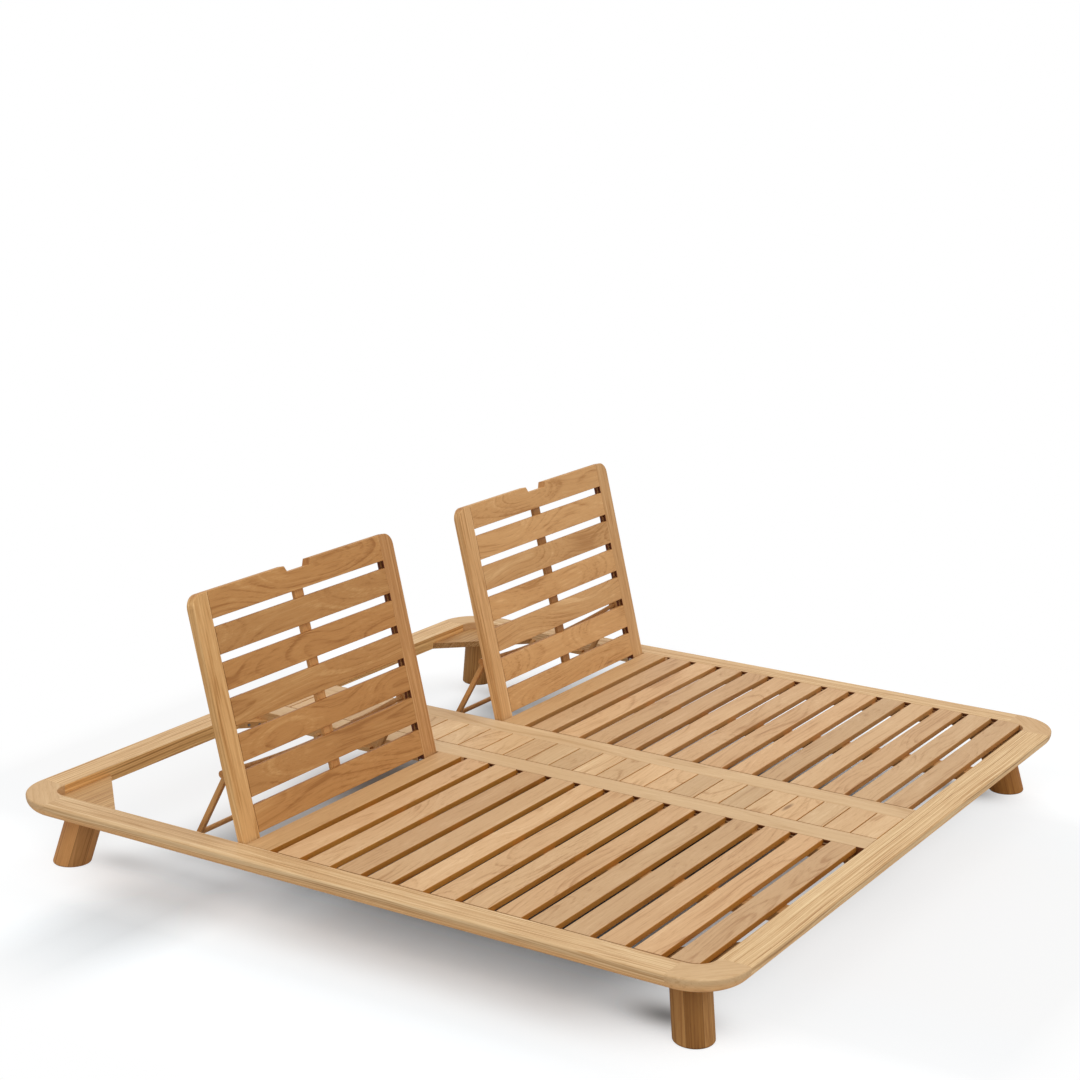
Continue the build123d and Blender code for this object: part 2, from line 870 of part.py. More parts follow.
def build_nodes():
    """All the nodes of the lounger."""
    nodes = {"head_rail": head_rail(), "foot_rail": foot_rail()}
    mirrored_pair(nodes, "side_rail", side_rail())
    corner = corner_piece()
    four_corners(nodes, "corner", corner, endwise(corner) - seat_groove())
    four_corners(nodes, "gusset", gusset(), endwise(gusset()))
    four_corners(nodes, "leg", leg(), endwise(leg()))
    nodes["leg_bolts"] = Compound(children=on_four_sides([leg_bolt()]))
    nodes["gusset_plugs"] = Compound(children=on_four_sides(gusset_plugs()))
    nodes["strip_blocks"] = Compound(children=on_four_sides([strip_block()]))
    right_screws = rack_screw_set(inner_x, 1) + rack_screw_set(strip_x, -1)
    frame_screws = right_screws + [crosswise(shape) for shape in right_screws]
    frame_screws += on_four_sides(strip_block_screws())
    nodes["frame_screws"] = Compound(children=frame_screws)
    mirrored_pair(nodes, "strip_rail", strip_rail())
    nodes["strip_planks"] = strip_planks()
    nodes["strip_ledges"] = strip_ledges()
    mirrored_pair(nodes, "cross_rail", cross_rail())
    mirrored_pair(nodes, "seat_slats", seat_slats())
    mirrored_pair(nodes, "seat_bearer", seat_bearer())
    mirrored_pair(nodes, "seat_ledge_outer", seat_ledge_outer())
    mirrored_pair(nodes, "seat_ledge_inner", seat_ledge_inner())
    mirrored_pair(nodes, "rack_outer", rack_outer())
    mirrored_pair(nodes, "rack_inner", rack_inner())
    bolts = hinge_bolts()
    nodes["hinge_bolts"] = Compound(children=[bolts, crosswise(bolts)])
    mirrored_pair(nodes, "stile_outer", stile_outer())
    mirrored_pair(nodes, "stile_inner", stile_inner())
    mirrored_pair(nodes, "back_top_rail", back_top_rail())
    mirrored_pair(nodes, "back_slats", back_slats())
    mirrored_pair(nodes, "back_batten", back_batten())
    mirrored_pair(nodes, "saddles", saddles())
    mirrored_pair(nodes, "stay_dowel", stay_dowel())
    mirrored_pair(nodes, "stay_arm_outer", stay_arm(0))
    mirrored_pair(nodes, "stay_arm_inner", stay_arm(1))
    mirrored_pair(nodes, "stay_bar", stay_bar())
    return nodes


for node_name, node_shape in build_nodes().items():
    export_step(node_shape, "parts/" + node_name + ".step")
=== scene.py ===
import math

import bpy
from mathutils import Matrix, Vector


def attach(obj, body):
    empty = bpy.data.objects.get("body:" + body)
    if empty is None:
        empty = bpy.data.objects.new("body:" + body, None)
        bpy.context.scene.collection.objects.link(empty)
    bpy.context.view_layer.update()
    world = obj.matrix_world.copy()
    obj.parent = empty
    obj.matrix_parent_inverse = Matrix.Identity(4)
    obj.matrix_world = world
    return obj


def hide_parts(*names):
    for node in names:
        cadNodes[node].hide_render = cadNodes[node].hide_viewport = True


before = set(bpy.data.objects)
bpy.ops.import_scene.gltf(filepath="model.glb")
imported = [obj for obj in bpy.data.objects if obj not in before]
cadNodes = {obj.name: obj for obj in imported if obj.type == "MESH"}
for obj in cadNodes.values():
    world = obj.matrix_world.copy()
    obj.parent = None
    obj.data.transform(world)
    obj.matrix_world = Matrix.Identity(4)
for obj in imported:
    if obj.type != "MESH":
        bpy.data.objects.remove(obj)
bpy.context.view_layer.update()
print("frame loaded:", len(cadNodes), "nodes")


# Camera, at the photograph's angle

cameraSettings = {
    "place": (-4.60665969, -2.78189191, 2.07148975),
    "right": (0.5311235, -0.8471708, 0.01447259),
    "up": (0.19435929, 0.13844114, 0.971112),
    "forward": (0.82470134, 0.51296753, -0.23818486),
    "lens": 73.886,  # millimetres, like the sensor's width
    "sensor": 36.0,
    "farthest": 200.0,  # metres that it sees
}


def addCamera(settings):
    camera = bpy.data.objects.new("camera", bpy.data.cameras.new("camera"))
    camera.data.lens = settings["lens"]
    camera.data.sensor_width = settings["sensor"]
    camera.data.sensor_fit = "HORIZONTAL"
    camera.data.clip_end = settings["farthest"]
    back = -Vector(settings["forward"])
    columns = Matrix((settings["right"], settings["up"], back)).transposed()
    camera.matrix_world = Matrix.Translation(settings["place"]) @ columns.to_4x4()
    bpy.context.scene.collection.objects.link(camera)
    bpy.context.scene.camera = camera


addCamera(cameraSettings)
print("camera placed")


# Small helpers for shader nodes

# how a screen turns numbers into light
screenCurve = {"brightest": 255.0, "knee": 0.04045, "slope": 12.92, "offset": 0.055, "power": 2.4}


def linear(*colour):
    # a colour picked on screen, as the shader wants it
    channels = []
    for value in colour:
        value = value / screenCurve["brightest"]
        if value <= screenCurve["knee"]:
            channels.append(value / screenCurve["slope"])
        else:
            raised = (value + screenCurve["offset"]) / (1.0 + screenCurve["offset"])
            channels.append(raised ** screenCurve["power"])
    return (*channels, 1.0)


def emptyMaterial(name):
    material = bpy.data.materials.new(name)
    material.use_nodes = True
    material.node_tree.nodes.clear()
    return material, material.node_tree


def addNode(tree, kind, inputs=None, **settings):
    made = tree.nodes.new(kind)
    for key, value in settings.items():
        setattr(made, key, value)
    for key, value in (inputs or {}).items():
        if isinstance(value, bpy.types.NodeSocket):
            tree.links.new(value, made.inputs[key])
        else:
            made.inputs[key].default_value = value
    return made


def calc(tree, operation, *values):
    return addNode(tree, "ShaderNodeMath", dict(enumerate(values)), operation=operation).outputs[0]


def centred(tree, value):
    return calc(tree, "SUBTRACT", value, 0.5)


def ramp(tree, factor, stops, smooth=True):
    made = addNode(tree, "ShaderNodeValToRGB", {"Fac": factor})
    made.color_ramp.interpolation = "EASE" if smooth else "LINEAR"
    while len(made.color_ramp.elements) < len(stops):
        made.color_ramp.elements.new(0.5)
    for element, (place, colour) in zip(made.color_ramp.elements, stops):
        element.position = place
        element.color = colour if hasattr(colour, "__len__") else (colour, colour, colour, 1.0)
    return made.outputs["Color"]


def mixColour(tree, blend, factor, first, second):
    return addNode(tree, "ShaderNodeMix", {0: factor, 6: first, 7: second}, data_type="RGBA",
                   blend_type=blend).outputs[2]


def toneBy(tree, share, colour, tone):
    # the colour multiplied by a tone, as far as share says
    return mixColour(tree, "MULTIPLY", share, colour, (*tone, 1.0))


def facing(tree, normal, way, stops, bothWays=False):
    # 1 on faces that look one way, or also the opposite way, and 0 on the others
    turned = addNode(tree, "ShaderNodeVectorMath", {0: normal, 1: way}, operation="DOT_PRODUCT")
    turned = turned.outputs["Value"]
    return ramp(tree, calc(tree, "ABSOLUTE", turned) if bothWays else turned, stops)


# Teak: growth bands and thin ring lines round a wandering pith, fibres, pores and the odd knot

# In each look pale, honey, deep and line are its colours from light to dark, and rose is the honey
# of its warmer boards. spacing is that of the rings. side, slant and depth place a board in its
# log, wander and ripple bend its rings, and swirl bends them round a knot, all in metres. knots is
# the share of eyes that are knots, and vary the spread of tone between boards. stripeFine and
# stripeLong are the stripes' fineness across and along. The others say how strongly each shows.
teakLooks = {
    "slat": {  # flat-sawn seat slats and planks, pale, with short brown streaks
        "pale": (228, 193, 149), "honey": (213, 174, 129), "deep": (187, 143, 98),
        "line": (150, 102, 60), "rose": (210, 167, 121), "spacing": 0.0080, "band": 0.24,
        "ringLine": 0.16, "wander": 0.060, "depth": 0.055, "side": 0.05, "swirl": 0.010,
        "knots": 0.14, "vary": 0.24, "streak": 0.28, "stripe": 0.26, "stripeFine": 150.0,
        "stripeLong": 1.6, "fibre": 0.22, "mottle": 0.50, "pores": 0.22, "ripple": 0.006,
    },
    "back": {  # flat-sawn back slats, warmer and darker, with soft arches
        "pale": (220, 177, 122), "honey": (199, 150, 94), "deep": (171, 120, 66),
        "line": (132, 84, 42), "rose": (192, 141, 84), "spacing": 0.0090, "band": 0.30,
        "ringLine": 0.18, "wander": 0.085, "depth": 0.045, "side": 0.05, "swirl": 0.016,
        "knots": 0.16, "vary": 0.13, "streak": 0.24, "stripe": 0.22, "stripeFine": 130.0,
        "stripeLong": 2.0, "fibre": 0.24, "mottle": 0.50, "pores": 0.20, "ripple": 0.0045,
    },
    "stile": {  # stiles, golden, with fine straight stripes
        "pale": (226, 187, 137), "honey": (205, 160, 108), "deep": (181, 133, 80),
        "line": (143, 97, 53), "rose": (201, 153, 99), "spacing": 0.0075, "band": 0.34,
        "ringLine": 0.20, "wander": 0.020, "depth": 0.10, "side": 0.08, "swirl": 0.010,
        "knots": 0.12, "vary": 0.08, "streak": 0.20, "stripe": 0.60, "stripeFine": 170.0,
        "stripeLong": 0.8, "fibre": 0.26, "mottle": 0.34, "pores": 0.22, "ripple": 0.005,
    },
    "rail": {  # rails, crisp thin stripes along their length
        "pale": (238, 208, 162), "honey": (220, 184, 137), "deep": (194, 151, 102),
        "line": (160, 112, 66), "rose": (215, 176, 127), "spacing": 0.0042, "band": 0.54,
        "ringLine": 0.36, "wander": 0.012, "depth": 0.10, "side": 0.03, "swirl": 0.004,
        "knots": 0.03, "vary": 0.06, "streak": 0.26, "stripe": 0.78, "stripeFine": 250.0,
        "stripeLong": 0.6, "fibre": 0.24, "mottle": 0.22, "pores": 0.18, "ripple": 0.004,
        "slant": 0.13,
    },
    "corner": {  # corner pieces, soft figure across the turn
        "pale": (231, 198, 152), "honey": (216, 179, 132), "deep": (196, 155, 107),
        "line": (164, 118, 72), "rose": (212, 172, 124), "spacing": 0.0090, "band": 0.20,
        "ringLine": 0.12, "wander": 0.03, "depth": 0.16, "side": 0.05, "swirl": 0.004,
        "knots": 0.10, "vary": 0.05, "streak": 0.20, "stripe": 0.36, "stripeFine": 140.0,
        "stripeLong": 3.0, "fibre": 0.24, "mottle": 0.34, "pores": 0.22, "ripple": 0.006,
        "slant": 0.10,
    },
    "plain": {  # strip rails and cross rails, palest and even
        "pale": (229, 197, 153), "honey": (216, 181, 137), "deep": (198, 159, 113),
        "line": (172, 128, 84), "rose": (213, 176, 130), "spacing": 0.0065, "band": 0.24,
        "ringLine": 0.14, "wander": 0.02, "depth": 0.14, "side": 0.06, "swirl": 0.004,
        "knots": 0.05, "vary": 0.05, "streak": 0.14, "stripe": 0.34, "stripeFine": 170.0,
        "stripeLong": 0.8, "fibre": 0.24, "mottle": 0.26, "pores": 0.20, "ripple": 0.005,
    },
    "leg": {  # turned legs, glued up from strips
        "pale": (208, 160, 106), "honey": (183, 134, 82), "deep": (156, 107, 60),
        "line": (118, 74, 36), "rose": (176, 124, 72), "spacing": 0.0070, "band": 0.40,
        "ringLine": 0.26, "wander": 0.014, "depth": 0.08, "side": 0.05, "swirl": 0.014,
        "knots": 0.34, "vary": 0.42, "streak": 0.20, "stripe": 0.26, "stripeFine": 120.0,
        "stripeLong": 2.5, "fibre": 0.22, "mottle": 0.44, "pores": 0.16, "ripple": 0.006,
    },
}

grainSettings = {
    "drawFrom": 0.5,  # with the board's number and the seed, what its random numbers come from
    "logLength": 37.0,  # metres of log that the boards come from
    "drift": {"pitch": 1.35, "seedStep": 3.1, "detail": 1.5, "roughness": 0.5},
    "leastDepth": 0.35,  # of a look's depth, which keeps the pith out of the boards
    "eyes": {"stretch": (2.6, 13.0, 13.0), "scatter": 0.9, "falloff": -14.0},
    "eyeCore": ((0.03, 1.0), (0.11, 0.0)),
    "bands": {"seedStep": 7.7, "scale": 0.8, "detail": 2.5, "roughness": 0.6},
    "noises": {  # fineness along and across the grain, detail, roughness
        "ripple": (6.0, 30.0, 3.0, 0.55), "fade": (3.0, 22.0, 1.0, 0.5),
        "fibre": (5.0, 300.0, 3.0, 0.6), "mottle": (3.2, 17.0, 2.0, 0.5),
        "pore": (34.0, 420.0, 1.0, 0.5), "streak": (1.3, 60.0, 2.0, 0.5),
    },
    "stripeNoise": (3.0, 0.65),  # detail, roughness
    "fadeStops": ((0.36, 0.15), (0.62, 1.0)),
    "lineStops": ((0.0, 0.0), (0.50, 0.12), (0.88, 1.0), (1.0, 0.0)),  # over one ring
    "poreStops": ((0.58, 0.0), (0.70, 1.0)),
    "streakStops": ((0.58, 0.0), (0.76, 1.0)),
    "darkness": 0.40,
    "weights": {
        "band": 1.6, "ringLine": 1.0, "fibre": 1.5, "stripe": 2.0, "mottle": 1.0, "streak": 0.5,
    },
    "colourStops": (("pale", 0.08), ("honey", 0.42), ("deep", 0.72), ("line", 1.0)),
    "rosyShare": 0.8,
    "poreTone": (0.60, 0.42, 0.27),
    "knotShare": 0.7,
    "knotColour": (112, 68, 34),
    "relief": {"fibre": 0.7, "pore": -0.8, "line": -0.25},
    "bump": {"Strength": 0.30, "Distance": 0.0004},
    "roughness": (0.18, 0.50),  # by the fibres, and everywhere
    "specular": 0.30,
}

faceSettings = {
    "endStops": ((0.6, 0.0), (0.9, 1.0)),
    "endShare": 0.8,
    "endTone": (0.74, 0.60, 0.46),  # end grain is darker
    "sideStops": ((0.55, 0.0), (0.95, 1.0)),
    # painted shade in the pockets beside the seats
    "pocketShadeTone": (0.26, 0.14, 0.07),
    "downStops": ((0.05, 0.0), (0.70, 1.0)),
    "middleBoard": (1.0, 0.5),  # its number, and how near to it counts
    "glueShare": 0.6,
    "glueColour": (104, 64, 32),
}

plainTones = {
    "tint": None,  # multiplies the whole colour; on some pieces it is painted light or shade
    "flank": 0.0,  # how far the painted shade goes on the faces that look along across, in the gaps
    "flankTone": (0.73, 0.48, 0.13),
    "oneShadedFlank": False,  # only on those that look along +across
    "pocketEnd": None,  # painted shade on those faces up to here along the grain, beside the seats
    "under": None,  # multiplies the faces that look down, as painted bounce light
    "middleTone": None,  # multiplies the second of the boards
    "glueLine": 0.0,  # metres of dark glue at each edge of a board
}
oneBoard = (-10.0, 20.0)  # start and pitch that take in all of any piece


def findBoard(tree, parts, boards, seed):
    # the board's number, the place across it from 0 to 1, and three random numbers for it
    steps = calc(tree, "DIVIDE", calc(tree, "SUBTRACT", parts[1], boards[0]), boards[1])
    index = calc(tree, "FLOOR", steps)
    inBoard = calc(tree, "SUBTRACT", steps, index)
    pick = addNode(tree, "ShaderNodeCombineXYZ", {
        0: index, 1: float(seed), 2: grainSettings["drawFrom"]}).outputs[0]
    chance = addNode(tree, "ShaderNodeTexWhiteNoise", {"Vector": pick}, noise_dimensions="3D")
    chances = addNode(tree, "ShaderNodeSeparateColor", {0: chance.outputs["Color"]}).outputs
    return index, inBoard, chances


def findLog(tree, style, parts, acrossHere, chances, seed):
    # the point's place in the log that its board is cut from, and its two distances to the pith
    along = calc(tree, "MULTIPLY_ADD", chances[0], grainSettings["logLength"], parts[0])
    drift = grainSettings["drift"]
    slow = addNode(tree, "ShaderNodeTexNoise", {
        "W": calc(tree, "MULTIPLY_ADD", along, drift["pitch"], seed * drift["seedStep"]),
        "Scale": 1.0, "Detail": drift["detail"], "Roughness": drift["roughness"],
    }, noise_dimensions="1D")
    slowParts = addNode(tree, "ShaderNodeSeparateColor", {0: slow.outputs["Color"]}).outputs
    sideShift = calc(tree, "MULTIPLY_ADD", centred(tree, chances[1]), 2 * style["side"],
                     style.get("slant", 0.0))
    sideWander = calc(tree, "MULTIPLY", centred(tree, slowParts[0]), style["wander"])
    depthWander = calc(tree, "MULTIPLY", centred(tree, slowParts[1]), 2 * style["wander"])
    depth = calc(tree, "MULTIPLY_ADD", chances[2], style["depth"],
                 grainSettings["leastDepth"] * style["depth"])
    logSide = calc(tree, "ADD", calc(tree, "ADD", acrossHere, sideShift), sideWander)
    logDepth = calc(tree, "ADD", calc(tree, "ADD", parts[2], depth), depthWander)
    inLog = addNode(tree, "ShaderNodeCombineXYZ", {0: along, 1: logSide, 2: logDepth}).outputs[0]
    return inLog, logSide, logDepth


def stretched(tree, inLog, alongScale, acrossScale, detail, roughness):
    # noise drawn out along the grain
    space = addNode(tree, "ShaderNodeVectorMath", {
        0: inLog, 1: (alongScale, acrossScale, acrossScale)}, operation="MULTIPLY")
    return addNode(tree, "ShaderNodeTexNoise", {
        "Vector": space.outputs[0], "Scale": 1.0, "Detail": detail, "Roughness": roughness,
    }).outputs[0]


def findEyes(tree, style, inLog):
    # how near the middle of a knot is, and the knot's own dark core
    eyes = grainSettings["eyes"]
    space = addNode(tree, "ShaderNodeVectorMath", {0: inLog, 1: eyes["stretch"]},
                    operation="MULTIPLY")
    eye = addNode(tree, "ShaderNodeTexVoronoi", {
        "Vector": space.outputs[0], "Scale": 1.0, "Randomness": eyes["scatter"]}).outputs
    eyeParts = addNode(tree, "ShaderNodeSeparateColor", {0: eye["Color"]}).outputs
    isKnot = calc(tree, "LESS_THAN", eyeParts[0], style["knots"])
    squared = calc(tree, "POWER", eye["Distance"], 2.0)
    near = calc(tree, "EXPONENT", calc(tree, "MULTIPLY", squared, eyes["falloff"]))
    core = ramp(tree, eye["Distance"], grainSettings["eyeCore"])
    return calc(tree, "MULTIPLY", near, isKnot), calc(tree, "MULTIPLY", core, isKnot)


def addRings(tree, style, seed, logSide, logDepth, eyeNear, ripple, fade):
    # the soft bands and the thin line of each ring
    sideSquare = calc(tree, "POWER", calc(tree, "ABSOLUTE", logSide), 2.0)
    depthSquare = calc(tree, "POWER", calc(tree, "ABSOLUTE", logDepth), 2.0)
    radius = calc(tree, "SQRT", calc(tree, "ADD", sideSquare, depthSquare))
    radius = calc(tree, "MULTIPLY_ADD", centred(tree, ripple), style["ripple"], radius)
    radius = calc(tree, "MULTIPLY_ADD", eyeNear, style["swirl"], radius)
    rings = calc(tree, "DIVIDE", radius, style["spacing"])
    bands = grainSettings["bands"]
    band = addNode(tree, "ShaderNodeTexNoise", {
        "W": calc(tree, "ADD", rings, seed * bands["seedStep"]),
        "Scale": bands["scale"], "Detail": bands["detail"], "Roughness": bands["roughness"],
    }, noise_dimensions="1D").outputs[0]
    line = ramp(tree, calc(tree, "FRACT", rings), grainSettings["lineStops"])
    return band, calc(tree, "MULTIPLY", line, ramp(tree, fade, grainSettings["fadeStops"]))


def colourBoard(tree, style, dark, chances):
    # the look's colours by darkness, some boards rosier and some darker than others
    colour = ramp(tree, dark, tuple(
        (place, linear(*style[name])) for name, place in grainSettings["colourStops"]))
    warmer = [rose / honey for rose, honey in zip(linear(*style["rose"]), linear(*style["honey"]))]
    rosy = calc(tree, "MULTIPLY", chances[1], grainSettings["rosyShare"])
    colour = mixColour(tree, "MIX", rosy, colour, toneBy(tree, 1.0, colour, warmer[:3]))
    toned = calc(tree, "MULTIPLY_ADD", chances[2], style["vary"], 1.0 - style["vary"] / 2)
    return addNode(tree, "ShaderNodeHueSaturation", {"Color": colour, "Value": toned}).outputs[0]


def toneFaces(tree, colour, normal, grain, across, grainPlace, tones):
    # what depends on the way that a face looks: darker end grain, painted shade on flanks and in
    # pockets, and painted bounce light underneath
    settings = faceSettings
    endFace = facing(tree, normal, grain, settings["endStops"], bothWays=True)
    endFace = calc(tree, "MULTIPLY", endFace, settings["endShare"])
    colour = toneBy(tree, endFace, colour, settings["endTone"])
    # painted shade on the side faces, as in the gaps between boards
    if tones["flank"]:
        flank = facing(tree, normal, across, settings["sideStops"], not tones["oneShadedFlank"])
        flank = calc(tree, "MULTIPLY", flank, tones["flank"])
        colour = toneBy(tree, flank, colour, tones["flankTone"])
    # painted shade in the pockets beside the seats
    if tones["pocketEnd"]:
        pocket = facing(tree, normal, across, settings["sideStops"])
        beside = calc(tree, "LESS_THAN", grainPlace, tones["pocketEnd"])
        colour = toneBy(tree, calc(tree, "MULTIPLY", pocket, beside), colour,
                        settings["pocketShadeTone"])
    # painted bounce light on the faces that look down
    if tones["under"]:
        bouncedUnderside = facing(tree, normal, (0, 0, -1), settings["downStops"])
        colour = toneBy(tree, bouncedUnderside, colour, tones["under"])
    return colour


def toneBoards(tree, colour, index, inBoard, pitch, tones):
    # what depends on the board
    if tones["middleTone"]:
        isMiddle = calc(tree, "COMPARE", index, *faceSettings["middleBoard"])
        colour = toneBy(tree, isMiddle, colour, tones["middleTone"])
    if tones["glueLine"]:
        toEdge = calc(tree, "SUBTRACT", 0.5, calc(tree, "ABSOLUTE", centred(tree, inBoard)))
        glue = calc(tree, "LESS_THAN", calc(tree, "MULTIPLY", toEdge, pitch), tones["glueLine"])
        glue = calc(tree, "MULTIPLY", glue, faceSettings["glueShare"])
        colour = mixColour(tree, "MIX", glue, colour, linear(*faceSettings["glueColour"]))
    if tones["tint"]:
        colour = toneBy(tree, 1.0, colour, tones["tint"])
    return colour


def teak(name, look, grain, across, seed, origin, boards=oneBoard, **tones):
    # grain and across are directions of the board and origin a point on it. boards is the start
    # and pitch of like boards laid side by side along across, so that each has its own figure.
    # tones are those of plainTones.
    style, tones, settings = teakLooks[look], {**plainTones, **tones}, grainSettings
    material, tree = emptyMaterial(name)
    grain = Vector(grain).normalized()
    across = (Vector(across) - Vector(across).dot(grain) * grain).normalized()
    rows = Matrix((grain, across, grain.cross(across)))
    place = addNode(tree, "ShaderNodeTexCoord").outputs
    turned = addNode(tree, "ShaderNodeMapping", {
        "Vector": place["Object"], "Rotation": rows.to_euler(),
        "Location": -(rows @ Vector(origin)),
    }, vector_type="POINT")
    parts = addNode(tree, "ShaderNodeSeparateXYZ", {0: turned.outputs[0]}).outputs
    index, inBoard, chances = findBoard(tree, parts, boards, seed)
    acrossHere = calc(tree, "MULTIPLY", centred(tree, inBoard), boards[1])
    inLog, logSide, logDepth = findLog(tree, style, parts, acrossHere, chances, seed)
    noises = {key: stretched(tree, inLog, *values) for key, values in settings["noises"].items()}
    stripe = stretched(tree, inLog, style["stripeLong"], style["stripeFine"],
                       *settings["stripeNoise"])
    eyeNear, eyeCore = findEyes(tree, style, inLog)
    band, line = addRings(tree, style, seed, logSide, logDepth, eyeNear, noises["ripple"],
                          noises["fade"])
    pore = ramp(tree, noises["pore"], settings["poreStops"])
    streak = ramp(tree, noises["streak"], settings["streakStops"])

    # one darkness for all of them
    darker = {
        "band": centred(tree, band), "ringLine": line, "fibre": centred(tree, noises["fibre"]),
        "stripe": centred(tree, stripe), "mottle": centred(tree, noises["mottle"]),
        "streak": streak,
    }
    dark = settings["darkness"]
    for key, value in darker.items():
        dark = calc(tree, "MULTIPLY_ADD", value, style[key] * settings["weights"][key], dark)
    colour = colourBoard(tree, style, dark, chances)
    poreShare = calc(tree, "MULTIPLY", pore, style["pores"])
    colour = toneBy(tree, poreShare, colour, settings["poreTone"])
    knotShare = calc(tree, "MULTIPLY", eyeCore, settings["knotShare"])
    colour = mixColour(tree, "MIX", knotShare, colour, linear(*settings["knotColour"]))
    colour = toneFaces(tree, colour, place["Normal"], grain, across, parts[0], tones)
    colour = toneBoards(tree, colour, index, inBoard, boards[1], tones)

    relief = settings["relief"]
    height = calc(tree, "MULTIPLY", noises["fibre"], relief["fibre"])
    height = calc(tree, "MULTIPLY_ADD", pore, relief["pore"], height)
    height = calc(tree, "MULTIPLY_ADD", line, relief["line"], height)
    bump = addNode(tree, "ShaderNodeBump", {**settings["bump"], "Height": height})
    shader = addNode(tree, "ShaderNodeBsdfPrincipled", {
        "Base Color": colour, "Normal": bump.outputs[0], "Specular IOR Level": settings["specular"],
        "Roughness": calc(tree, "MULTIPLY_ADD", noises["fibre"], *settings["roughness"]),
    })
    addNode(tree, "ShaderNodeOutputMaterial", {"Surface": shader.outputs[0]})
    return material


# Steel of the bolts and screws

brushSettings = {
    "noise": {"Scale": 900.0, "Detail": 2.0},
    "roughnessSpread": 0.16,
    "haze": (166, 163, 158),
    "stops": (0.3, 0.7),  # of the haze and of the steel's own colour
    "bump": {"Strength": 0.15, "Distance": 0.0001},
}
boltSteelSettings = {"colour": (186, 184, 180), "roughness": 0.30}
# the screws' own steel, made dark as painted shade for the sunk holes that they sit in
screwSteelSettings = {"colour": (92, 84, 74), "roughness": 0.42}


def steel(name, settings):
    material, tree = emptyMaterial(name)
    place = addNode(tree, "ShaderNodeTexCoord").outputs["Object"]
    brushed = addNode(tree, "ShaderNodeTexNoise", {"Vector": place, **brushSettings["noise"]})
    brushed = brushed.outputs[0]
    rough = calc(tree, "MULTIPLY_ADD", brushed, brushSettings["roughnessSpread"],
                 settings["roughness"])
    colours = (linear(*brushSettings["haze"]), linear(*settings["colour"]))
    tone = ramp(tree, brushed, tuple(zip(brushSettings["stops"], colours)))
    bump = addNode(tree, "ShaderNodeBump", {**brushSettings["bump"], "Height": brushed})
    shader = addNode(tree, "ShaderNodeBsdfPrincipled", {
        "Base Color": tone, "Roughness": rough, "Metallic": 1.0, "Normal": bump.outputs[0],
    })
    addNode(tree, "ShaderNodeOutputMaterial", {"Surface": shader.outputs[0]})
    return material


# Wood for the CAD nodes, each with its own seed, with the boards' places in metres

alongX, alongY = (1, 0, 0), (0, 1, 0)
reclineAngle = math.radians(75.6)
stayLean = math.radians(-62.0)
backUp = (0.0, math.cos(reclineAngle), math.sin(reclineAngle))
armAlong = (0.0, math.cos(stayLean), math.sin(stayLean))
hinge = (0.0, 0.300, 0.171)

woodPlaces = {
    "sideRail": 0.9625,  # the middles of the rails, on X or Y
    "stripRail": 0.1145,
    "endRail": 0.9375,
    "crossRail": 0.2525,
    "seat": 0.5375,  # the middle of a seat and its back, on X
    "railHeight": 0.1625,
    "plainHeight": 0.17,
    "slatHeight": 0.172,
    "bearerHeight": 0.153,
    "blockHeight": 0.15,
    "topRail": 0.5565,  # up the back from its hinge
    "stiles": {"outer": 0.8945, "inner": 0.1805},
    "stay": (0, 0.4, 0.3),  # a point near the dowel and bar, and the arms' upper end
    "arm": (0, 0.3669, 0.3288),
    "corner": (0.93, 0.91),  # a point in each, on X and Y
    "gusset": (0.86, 0.84),
    "leg": (0.894, 0.862),  # at the floor
    "legLean": (0.031, 0.143),  # sideways, both on X and Y, and up
    "pocketEnd": 0.21,  # where the painted shade beside the seats ends, on Y
}
boardPlaces = {  # start and pitch
    "seatSlats": (-0.889879, 0.084443),
    "planks": (-0.9, 0.0692308),
    "backSlats": (0.006708, 0.0845834),
    "ledges": (-0.4, 0.4),
    "blocks": (-1.0, 1.0),
    "legs": (-0.057, 0.038),
}
paintedBounceTone = (1.42, 1.22, 1.0)  # painted bounce light on the rails' undersides, as if lit by the white floor
coatSettings = {"weld": 0.00002, "splitAngle": 28.0}


def dress(node, material):
    mesh = cadNodes[node].data
    for slot in cadNodes[node].material_slots:
        slot.material = material
    mesh.polygons.foreach_set("use_smooth", [True] * len(mesh.polygons))
    weld = cadNodes[node].modifiers.new("weld", "WELD")
    weld.merge_threshold = coatSettings["weld"]
    split = cadNodes[node].modifiers.new("split", "EDGE_SPLIT")
    split.split_angle = math.radians(coatSettings["splitAngle"])


# each side's back, batten and stile tints are painted light and shade, one side's copies lighter or
# darker
sideSettings = {
    "left": {
        "sign": -1, "seed": 13, "gapFlankShade": 1.0,
        "backLightAndShade": (0.91, 0.84, 0.73), "battenLightAndShade": (1.18, 1.12, 1.02),
        "stileLightAndShade": {"outer": (1.16, 1.16, 1.08), "inner": (0.87, 0.77, 0.66)},
    },
    "right": {
        "sign": 1, "seed": 25, "gapFlankShade": 0.75,
        "backLightAndShade": (1.12, 1.16, 1.25), "battenLightAndShade": (0.74, 0.64, 0.52),
        "stileLightAndShade": {"outer": (0.97, 0.95, 0.92), "inner": (1.10, 1.12, 1.14)},
    },
}
sharedTones = {  # the same at both sides
    # painted shade on the side faces of the strip rails and back slats
    "strip_rail": {"flank": 0.5},
    "cross_rail": {"tint": (0.91, 0.83, 0.72)},
    "back_slats": {"flank": 0.5},
    # painted shade, near black, on the stiles' faces that look in towards the slats
    "stile": {"flank": 1.0, "flankTone": (0.22, 0.09, 0.04), "oneShadedFlank": True},
}
seedSteps = {  # from the seed of a side or a corner
    "side_rail": 1, "strip_rail": 2, "cross_rail": 3, "seat_slats": 4, "hidden": 5,
    "back_slats": 6, "back_top_rail": 7, "stile_outer": 9, "stile_inner": 10, "back_batten": 11,
    "stay": 32, "arm": 33, "corner": 0, "gusset": 1, "leg": 2,
}


